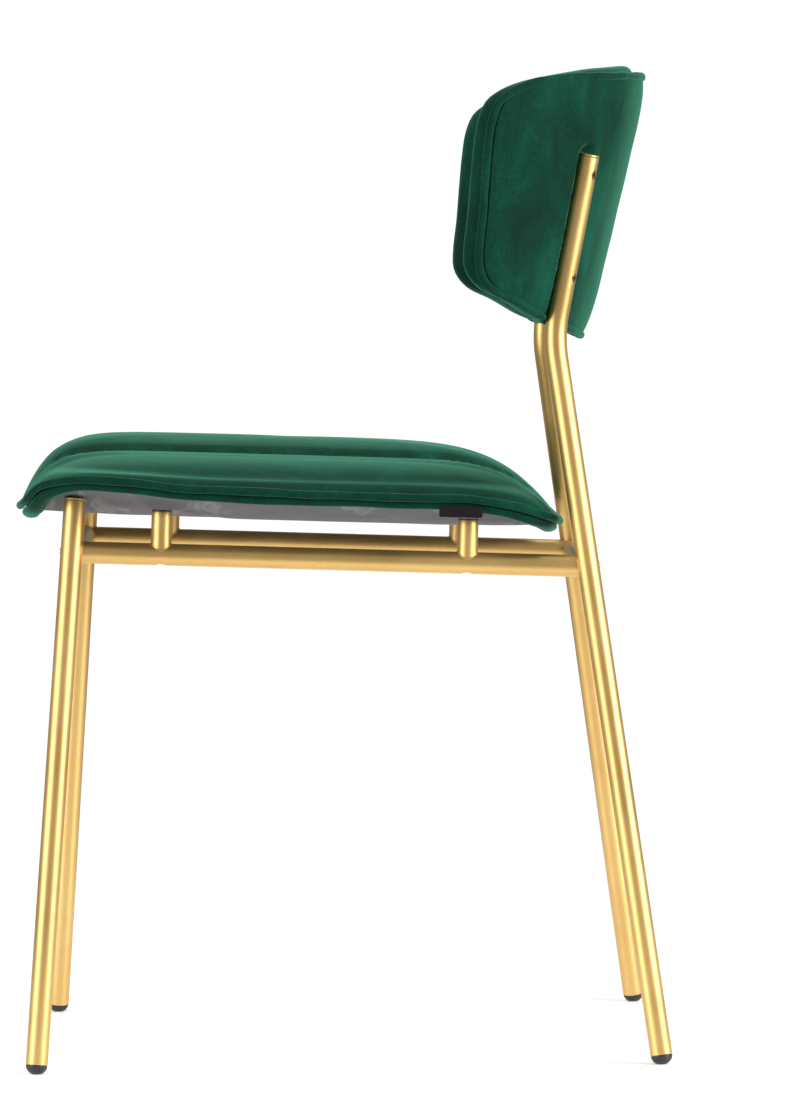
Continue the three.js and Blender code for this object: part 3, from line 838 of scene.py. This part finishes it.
def add_back_screws():
    names = [f"{level}_{name}" for name in SIDES for level in BACK_SCREW_Z]
    for name, (face, out, _) in zip(names, back_screws()):
        head = [
            [0, -SCREW_LENGTH], [BOLT_R, -SCREW_LENGTH], [BOLT_R, -2.2], [SCREW_HEAD_R - 0.1, -0.35],
            [SCREW_HEAD_R - 0.3, -0.1], [SOCKET_R + 0.2, 0],
        ]
        rings = turned_body(head + [[0, 0]], face, out, 24)
        screw = piece(
            f"screw_{name}", rings, STEEL, "fastener_steel", f"back_screw_{name}", sharp=40
        )
        socket = rod_body(face + out * 1.0, face - out * SOCKET_DEPTH, SOCKET_R, 6)
        cut_by(screw, socket)


# ---- seat ----
SEAT_AROUND = 224
SEAT_CHANNEL_U = 92
CHANNEL_WIDTH = 44
CHANNEL_DEPTH = {"seat": 10.5, "back": 9.5}
SEWN_REACH = (2, 22)  # where the cloth begins to be free of a channel, and is wholly free
MOST_SWELL = 3
SIDE_LOBE_LOWER = 9
CUSHION_LIFT = 10.5  # the shell and the dust cover are under the cushion
seat_edge = whole_edge(SEAT_EDGE, SEAT_AROUND)
edge_phase = np.arange(SEAT_AROUND) / SEAT_AROUND


def dish_power(v):
    return 3.1 - 0.9 * smoothstep(-v, -50, 0)


def seat_underside(edge, s):
    return SEAT_UNDERSIDE + (edge[:, 2] - 3 - SEAT_UNDERSIDE) * s ** dish_power(edge[:, 1])


def channel(distance, width):
    """0 on the crown of a lobe, 1 in the sewn seam, with round shoulders that meet in a crease."""
    near = np.clip(1 - np.abs(distance) / width, 0, 1)
    stitch = np.clip(1 - np.abs(distance) / 3.5, 0, 1)
    return 0.82 * near ** 2.3 + 0.18 * stitch ** 2


def off_channel(across, channel_at):
    """0 where the cloth is sewn into a channel, 1 where it is free of it."""
    return smoothstep(np.abs(np.abs(across) - channel_at), *SEWN_REACH)


FALL_POWER = {"side": 10, "front": 11, "rear": 4.6}
SIDE_LOBE = {"u": 150, "drop": 8.5}


def seat_top(edge, s):
    reach = edge[:, 1] - SEAT_CENTRE_V
    lengthways = (reach / np.hypot(edge[:, 0], reach)) ** 4
    end_power = np.where(reach < 0, FALL_POWER["front"], FALL_POWER["rear"])
    power = FALL_POWER["side"] + (end_power - FALL_POWER["side"]) * lengthways
    crown = SEAT_CROWN - SIDE_LOBE["drop"] * (edge[:, 0] * s / SIDE_LOBE["u"]) ** 2
    return crown + (edge[:, 2] + 1.2 - crown) * s ** power


def seat_ring(s, height):
    v = SEAT_CENTRE_V + (seat_edge[:, 1] - SEAT_CENTRE_V) * s
    return seat_point(seat_edge[:, 0] * s, v, height(seat_edge, s))


def cushion_top(edge, s):
    """The crown with lower side lobes and two sewn channels, shallower near the piping."""
    u = edge[:, 0] * s
    depth = CHANNEL_DEPTH["seat"] * (1 - 0.55 * smoothstep(s, 0.72, 1.0))
    sunk = depth * channel(np.abs(u) - SEAT_CHANNEL_U, CHANNEL_WIDTH)
    side_lobe = SIDE_LOBE_LOWER * smoothstep(np.abs(u), 84, 126) * (1 - smoothstep(s, 0.86, 1))
    return seat_top(edge, s) - sunk - side_lobe


def add_seat_cushion():
    def under(edge, s):
        return seat_underside(edge, s) + CUSHION_LIFT

    under_rings = [seat_ring(s, under) for s in (0.3, 0.6, 0.8, 0.9)]
    under_rings += [seat_ring(s, lambda edge, s: edge[:, 2]) for s in (0.95, 0.985)]
    shares = np.concatenate([np.linspace(0.02, 0.8, 56), np.linspace(0.81, 0.995, 34)])[::-1]
    rings = under_rings + [seat_ring(s, cushion_top) for s in shares]
    low = seat_point(0, SEAT_CENTRE_V, SEAT_UNDERSIDE + CUSHION_LIFT)
    high = seat_point(0, SEAT_CENTRE_V, SEAT_CROWN)
    cushion = piece(
        "seat_cushion", skin_body(low, rings, high), VELVET, "velvet", "seat_cover", "seat_foam"
    )
    u = np.outer(shares, seat_edge[:, 0])
    off_rim = 1 - smoothstep(shares, 0.86, 0.97)[:, None]
    freedom = off_channel(u, SEAT_CHANNEL_U) * off_rim
    sewn = np.zeros(len(under_rings) * SEAT_AROUND)
    plump(cushion, np.concatenate([sewn, freedom.ravel(), [0, 1]]))


def piping_body(points, wobble, thick):
    """A soft round piping along a closed edge: wobble raises it and thick adds to its radius."""
    line = points.copy()
    line[:, 2] += wobble
    return closed_tube(line, PIPING_R - 0.15 + thick, 16)


def add_seat_piping():
    wobble = ripple(edge_phase, (9, 0.35, 0.4), (17, 0.25, 2.1), (31, 0.12, 4.0))
    thick = ripple(edge_phase, (13, 0.12, 1.0), (29, 0.1, 3.0), (47, 0.06, 5.0))
    points = seat_point(seat_edge[:, 0], seat_edge[:, 1], seat_edge[:, 2])
    piece("piping_seat", piping_body(points, wobble, thick), VELVET, "velvet", "seat_piping")


HEM_INSET = 9.2
HEM_DROP = 5.2
HEM_HALF = (7.2, 4.6)


def add_seat_hem():
    before, after = np.roll(seat_edge, 1, axis=0), np.roll(seat_edge, -1, axis=0)
    inward = np.stack([before[:, 1] - after[:, 1], after[:, 0] - before[:, 0]], axis=1)
    inward /= np.linalg.norm(inward, axis=1)[:, None]
    sag = ripple(edge_phase, (7, 0.5, 1.3), (15, 0.35, 0.2), (27, 0.25, 2.6))
    turn = 2 * math.pi * np.arange(16) / 16
    inset = HEM_INSET + HEM_HALF[0] * np.cos(turn)[None, :] - 0.3 * sag[:, None]
    middle = seat_edge[:, 2] - HEM_DROP + sag * 0.6
    w = middle[:, None] + HEM_HALF[1] * np.sin(turn)[None, :]
    rings = seat_point(
        seat_edge[:, 0][:, None] + inward[:, 0][:, None] * inset,
        seat_edge[:, 1][:, None] + inward[:, 1][:, None] * inset,
        w,
    )
    piece("hem_seat", loop_body(rings), VELVET, "velvet", "seat_hem")


DUST_COVER_THICKNESS = 0.7


def add_dust_cover():
    shares = np.linspace(0.03, 0.94, 46)

    def ring(s, lift):
        return seat_ring(s, lambda edge, s: at_posts(edge, s) + lift + wrinkle(edge, s))

    def at_posts(edge, s):
        """The underside, drawn down to the spacer round each post."""
        u, v = edge[:, 0] * s, SEAT_CENTRE_V + (edge[:, 1] - SEAT_CENTRE_V) * s
        height = seat_underside(edge, s)
        for post_v in POST_AT.values():
            away = np.hypot(np.abs(u) - SIDE_RAIL_X, v - post_v)
            drawn = 1 - smoothstep(away, 8.5, 24)
            height = height + drawn * (np.minimum(height, POST_TOP + 1.05) - height)
        return height

    def wrinkle(edge, s):
        u, v = edge[:, 0] * s, SEAT_CENTRE_V + (edge[:, 1] - SEAT_CENTRE_V) * s
        fold = np.sin(u / 17 + v / 31) * np.sin(v / 23 - u / 41 + 1) + np.sin(u / 9 - v / 14)
        return 0.22 * fold * smoothstep(s, 0.2, 0.6) * (1 - smoothstep(s, 0.85, 0.94))

    rings = [ring(s, 0) for s in shares] + [ring(s, DUST_COVER_THICKNESS) for s in shares[::-1]]
    low = seat_point(0, SEAT_CENTRE_V, SEAT_UNDERSIDE)
    sheet = piece(
        "dust_cover", skin_body(low, rings, low + SEAT_UP * DUST_COVER_THICKNESS), NON_WOVEN,
        "dust_cover", "seat_dust_cover",
    )


LABEL = {"length": 35, "height": 9, "thickness": 0.6, "v": 315, "u": 201.4, "w": 42.8, "turn": 0.14}


def add_label():
    """A blank tab with rounded corners, curling a little at its lower edge."""
    columns, rows = 24, 8
    rings = []
    for along in np.linspace(-0.5, 0.5, columns):
        ring = []
        for face in (1, -1):
            for up in np.linspace(-0.5, 0.5, rows)[::face]:
                corner = max(0, abs(along) - 0.46) * max(0, abs(up) - 0.3) * 40
                v = LABEL["v"] + along * (LABEL["length"] - corner)
                curl = 1.6 * (0.5 - up) ** 3 * (0.6 + along)
                u = LABEL["u"] - along * LABEL["length"] * math.sin(LABEL["turn"])
                u += face * LABEL["thickness"] / 2 + curl
                ring.append(seat_point(u, v, LABEL["w"] + up * (LABEL["height"] - corner)))
        rings.append(ring)
    rings = np.array(rings)
    piece(
        "blank_tab", skin_body(rings[0].mean(axis=0), rings, rings[-1].mean(axis=0)), TAPE,
        "label_tape", "seat_label", sharp=50,
    )


# ---- back ----
BACK_AROUND = 256
BACK_CHANNEL_A = 100
REAR_SWELL = 5.5
BACK_SHELL_REAR = -3.4
BACK_SHELL_FRONT = -11.4
PAD_DEPTH = {"middle": 45, "wing": 31}
PAD_SWELL = 2.4
PAD_SWELL_TOP = 7
PAD_TUCK = 15
PAD_PROFILE = [
    [1, -0.1, 0.122], [1, 0.85, 0.28], [1, 1, 0.48], [0.99, 0, 0.74], [0.94, 0, 0.93],
    [0.8, 0, 1], [0.45, 0, 1.02], [0.02, 0, 1.02],
]
back_edge = whole_edge(BACK_EDGE, BACK_AROUND)
back_phase = np.arange(BACK_AROUND) / BACK_AROUND


def wing_share(a):
    return smoothstep(np.abs(a), 120, 250)


def pad_depth(a):
    return PAD_DEPTH["middle"] + (PAD_DEPTH["wing"] - PAD_DEPTH["middle"]) * wing_share(a)


def pad_swell(edge):
    at_top = smoothstep(edge[:, 1], 730, 800) * (1 - wing_share(edge[:, 0]))
    return PAD_SWELL + PAD_SWELL_TOP * at_top


def upright_press(a, z, n):
    """The rear panel's n where an upright presses into it, easing out to the free panel."""
    pressed = n.copy()
    for side in SIDES.values():
        bend, top = on_side(BEND, side), on_side(UPRIGHT_TOP, side)
        height = np.clip(z, BEND[2] - 30, UPRIGHT_TOP[2])
        axis = bend + (top - bend) * ((height - bend[2]) / (top[2] - bend[2]))[:, None]
        centre_y = BACK_FOOT_Y + (height - BACK_FOOT_Z) * BACK_LEAN - BACK_R
        axis_a = BACK_R * np.arctan2(axis[:, 0], axis[:, 1] - centre_y)
        axis_n = np.hypot(axis[:, 0], axis[:, 1] - centre_y) - BACK_R
        beyond = np.clip(z - UPRIGHT_TOP[2], 0, None) * 1.3
        away = np.hypot(a - axis_a, beyond)
        held = axis_n - TUBE_R - 0.2 + away ** 2 / 30 + 0.6 * np.clip(away - 6, 0, None)
        softness = 2.5
        share = np.clip(0.5 + (pressed - held) / (2 * softness), 0, 1)
        pressed = pressed * (1 - share) + held * share - softness * share * (1 - share)
    return pressed


def back_ring(s, height):
    a = back_edge[:, 0] * s
    z = BACK_CENTRE_Z + (back_edge[:, 1] - BACK_CENTRE_Z) * s
    return back_point(a, z, height(a, z, s))


def rear_height(a, z, s):
    ripples = 0.25 * np.sin(a / 21 + z / 17) * np.sin(z / 13 - a / 29) * (1 - s ** 4)
    return upright_press(a, z, 0.6 + REAR_SWELL * (1 - s ** 8) + ripples)


def add_rear_panel():
    shares = np.concatenate([np.linspace(0.012, 0.8, 72), np.linspace(0.81, 0.985, 28)])
    rings = [back_ring(s, rear_height) for s in shares]
    inner = BACK_SHELL_REAR + GAP - 1.5
    rings += [back_ring(s, lambda a, z, s: inner + 0 * a) for s in (0.97, 0.8, 0.5, 0.2)]
    middle = np.array([0.0])
    outside = back_point(0, BACK_CENTRE_Z, float(rear_height(middle, middle + BACK_CENTRE_Z, 0)[0]))
    inside = back_point(0, BACK_CENTRE_Z, inner)
    panel = piece(
        "rear_panel", skin_body(outside, rings, inside), VELVET, "velvet", "back_cover_rear"
    )


def pad_rings(stations):
    """Rings of the front pad from the seam to the middle, and how free each of their points is."""
    spread = np.array([60, 6, 40])
    profile = catmull_rom(np.array(PAD_PROFILE) * spread, False, 16)
    profile = spaced(profile, stations, False) / spread
    rings, freedom = [], []
    for s, out, deep in profile:
        radial = back_edge[:, :2] - np.array([0, BACK_CENTRE_Z])
        length = np.linalg.norm(radial, axis=1)
        tuck = PAD_TUCK * (1 - smoothstep(back_edge[:, 1], 600, 655)) * deep * s
        reach = length * s + pad_swell(back_edge) * out - tuck
        a = radial[:, 0] / length * reach
        z = BACK_CENTRE_Z + radial[:, 1] / length * reach
        shown = smoothstep(deep, 0.35, 0.95)
        sunk = CHANNEL_DEPTH["back"] * shown * channel(np.abs(a) - BACK_CHANNEL_A, CHANNEL_WIDTH)
        depth = pad_depth(back_edge[:, 0] * min(s, 1)) * deep - sunk
        rings.append(back_point(a, z, -depth))
        freedom.append(off_channel(a, BACK_CHANNEL_A) * smoothstep(deep, 0.5, 1))
    return rings, freedom


def add_front_pad():
    inner = BACK_SHELL_FRONT - GAP
    rings = [back_ring(s, lambda a, z, s: inner + 0 * a) for s in (0.2, 0.5, 0.8, 0.93)]
    front_rings, freedom = pad_rings(110)
    freedom = np.concatenate([np.zeros(len(rings) * BACK_AROUND), *freedom, [0, 1]])
    rings += front_rings
    rear = back_point(0, BACK_CENTRE_Z, inner)
    front = back_point(0, BACK_CENTRE_Z, -PAD_DEPTH["middle"] * 1.02)
    pad = piece(
        "front_pad", skin_body(rear, rings, front), VELVET, "velvet",
        "back_cover_front", "back_foam",
    )
    plump(pad, freedom)


def add_back_piping():
    wobble = ripple(back_phase, (9, 0.25, 0.3), (19, 0.15, 1.4), (33, 0.1, 2.2))
    thick = ripple(back_phase, (15, 0.1, 1.0), (31, 0.1, 2.0), (53, 0.06, 0.5))
    n = upright_press(back_edge[:, 0], back_edge[:, 1], 0 * back_phase + PIPING_R) - PIPING_R
    points = back_point(back_edge[:, 0], back_edge[:, 1], np.minimum(n, 0))
    piece("piping_back", piping_body(points, wobble, thick), VELVET, "velvet", "back_piping")


HIDDEN_FINISHES = (
    ("_shell", PLYWOOD), ("_foam", FOAM), ("nut", STEEL), ("screw", STEEL), ("washer", RUBBER),
    ("foot", RUBBER), ("leg", BRASS), ("rail", BRASS), ("post", BRASS),
    ("dust_cover", NON_WOVEN), ("label", TAPE), ("", VELVET),
)


def finish_hidden_nodes():
    """The pieces inside the upholstery keep their CAD shape and get their own materials."""
    for name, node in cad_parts.items():
        finish = next(material for word, material in HIDDEN_FINISHES if word in name)
        for slot in node.material_slots:
            slot.material = finish


# ---- stage ----
CAMERA_PLACE = (5.53888, -0.01641, 0.6317)
CAMERA_YAW = -0.0117
CAMERA_PITCH = 0.0416
CAMERA_ROLL = -0.0157
CAMERA_LENS = 212.43
CAMERA_SENSOR = 36


def placed(right, up, back, place):
    """The matrix of a camera or light with these axes at this place."""
    axes = np.eye(4)
    axes[:3] = np.stack([right, up, back, place], axis=1)
    return Matrix(axes.tolist())


def add_camera():
    forward = np.array([
        -math.cos(CAMERA_PITCH) * math.cos(CAMERA_YAW),
        -math.cos(CAMERA_PITCH) * math.sin(CAMERA_YAW),
        -math.sin(CAMERA_PITCH),
    ])
    right = unit(np.cross(forward, [0, 0, 1]))
    up = np.cross(right, forward)
    turned_right = math.cos(CAMERA_ROLL) * right + math.sin(CAMERA_ROLL) * up
    turned_up = -math.sin(CAMERA_ROLL) * right + math.cos(CAMERA_ROLL) * up
    data = bpy.data.cameras.new("camera")
    data.lens = CAMERA_LENS
    data.sensor_width = CAMERA_SENSOR
    data.sensor_fit = "AUTO"
    camera = bpy.data.objects.new("camera", data)
    camera.matrix_world = placed(turned_right, turned_up, -forward, CAMERA_PLACE)
    bpy.context.scene.collection.objects.link(camera)
    bpy.context.scene.camera = camera


def add_softbox(name, place, target, width, height, power, colour=(1, 1, 1)):
    data = bpy.data.lights.new(name, "AREA")
    data.shape = "RECTANGLE"
    data.size, data.size_y = width, height
    data.energy = power
    data.color = colour
    light = bpy.data.objects.new(name, data)
    back = unit(np.array(place, float) - np.array(target, float))
    right = unit(np.cross([0, 0, 1], back))
    light.matrix_world = placed(right, np.cross(back, right), back, place)
    bpy.context.scene.collection.objects.link(light)


def add_world():
    """White to the camera, and a dimmer grey studio for the light."""
    world = bpy.data.worlds.new("studio")
    bpy.context.scene.world = world
    world.use_nodes = True
    tree = world.node_tree
    link = tree.links.new
    tree.nodes.clear()
    seen, light = tree.nodes.new("ShaderNodeBackground"), tree.nodes.new("ShaderNodeBackground")
    seen.inputs["Color"].default_value = (1, 1, 1, 1)
    seen.inputs["Strength"].default_value = 1.05
    light.inputs["Color"].default_value = (0.96, 0.98, 1, 1)
    light.inputs["Strength"].default_value = 0.38
    rays, mix = tree.nodes.new("ShaderNodeLightPath"), tree.nodes.new("ShaderNodeMixShader")
    out = tree.nodes.new("ShaderNodeOutputWorld")
    link(rays.outputs["Is Camera Ray"], mix.inputs["Fac"])
    link(light.outputs[0], mix.inputs[1])
    link(seen.outputs[0], mix.inputs[2])
    link(mix.outputs[0], out.inputs["Surface"])


def add_floor():
    """A pale disc that fades out to the white studio and isn't seen from below."""
    radius, rings, around = 1.6, 24, 96
    turn = 2 * math.pi * np.arange(around) / around
    points = [[0, 0, 0]]
    for r in np.linspace(radius / rings, radius, rings):
        points += [[r * math.cos(t), r * math.sin(t), 0] for t in turn]
    faces = [(0, 1 + i, 1 + (i + 1) % around) for i in range(around)]
    faces += [tuple(i + 1 for i in face[::-1]) for face in quads(rings, around, False)]
    mesh = bpy.data.meshes.new("floor")
    mesh.from_pydata(points, [], faces)
    mesh.update()
    floor = bpy.data.objects.new("floor", mesh)
    bpy.context.scene.collection.objects.link(floor)
    material = bpy.data.materials.new("floor")
    material.use_nodes = True
    tree = material.node_tree
    link = tree.links.new
    shader, out = tree.nodes["Principled BSDF"], tree.nodes["Material Output"]
    shader.inputs["Base Color"].default_value = (0.9, 0.9, 0.9, 1)
    shader.inputs["Roughness"].default_value = 0.35
    shader.inputs["Emission Color"].default_value = (1, 1, 1, 1)
    shader.inputs["Emission Strength"].default_value = 0.36
    clear, mix = tree.nodes.new("ShaderNodeBsdfTransparent"), tree.nodes.new("ShaderNodeMixShader")
    place, length = tree.nodes.new("ShaderNodeTexCoord"), tree.nodes.new("ShaderNodeVectorMath")
    length.operation = "LENGTH"
    fade, under = tree.nodes.new("ShaderNodeMapRange"), tree.nodes.new("ShaderNodeNewGeometry")
    fade.interpolation_type = "SMOOTHSTEP"
    fade.inputs["From Min"].default_value = 0.55
    fade.inputs["From Max"].default_value = 1.5
    most = tree.nodes.new("ShaderNodeMath")
    most.operation = "MAXIMUM"
    link(place.outputs["Object"], length.inputs[0])
    link(length.outputs["Value"], fade.inputs["Value"])
    link(fade.outputs["Result"], most.inputs[0])
    link(under.outputs["Backfacing"], most.inputs[1])
    link(most.outputs[0], mix.inputs["Fac"])
    link(shader.outputs[0], mix.inputs[1])
    link(clear.outputs[0], mix.inputs[2])
    link(mix.outputs[0], out.inputs["Surface"])
    mesh.materials.append(material)


def add_lights():
    middle = (0, 0, 0.45)
    add_softbox("key", (1.5, -2.2, 1.0), middle, 1.3, 2.2, 58, (1, 0.97, 0.92))
    add_softbox("rim", (1.2, 2.3, 1.2), middle, 1.1, 2.2, 92, (1, 0.97, 0.92))
    add_softbox("top", (-0.3, -0.2, 2.6), middle, 2.0, 2.0, 26)


finish_hidden_nodes()
add_legs()
add_rails()
add_posts()
add_back_screws()
add_seat_cushion()
add_seat_piping()
add_seat_hem()
add_dust_cover()
add_label()
add_rear_panel()
add_front_pad()
add_back_piping()
add_camera()
add_world()
add_floor()
add_lights()
bpy.context.scene.view_settings.view_transform = "Standard"
